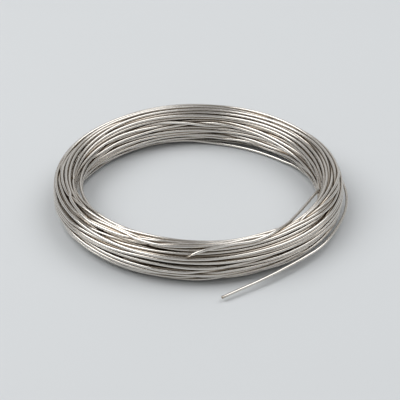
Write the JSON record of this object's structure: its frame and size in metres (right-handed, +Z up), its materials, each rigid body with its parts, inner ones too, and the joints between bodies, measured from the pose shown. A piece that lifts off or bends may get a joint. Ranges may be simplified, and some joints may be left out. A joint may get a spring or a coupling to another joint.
{
  "type": "coil of platinum wire",
  "caption": "Loose round coil of bright platinum wire lying flat, with one free end standing away at the front and the other lying over the turns.",
  "frame": {"origin": "on the coil's middle axis, on the surface that the coil lies on", "axes": "+Z up, along the coil's axis; -Y towards the viewer of the picture, where both free ends lie; +X to the viewer's right"},
  "size_m": [0.1007, 0.1075, 0.0145],
  "materials": {
    "platinum": "gloss"
  },
  "bodies": {
    "root": {"wire_coil": "platinum", "outer_end": "platinum", "inner_end": "platinum"}
  },
  "joints": []
}
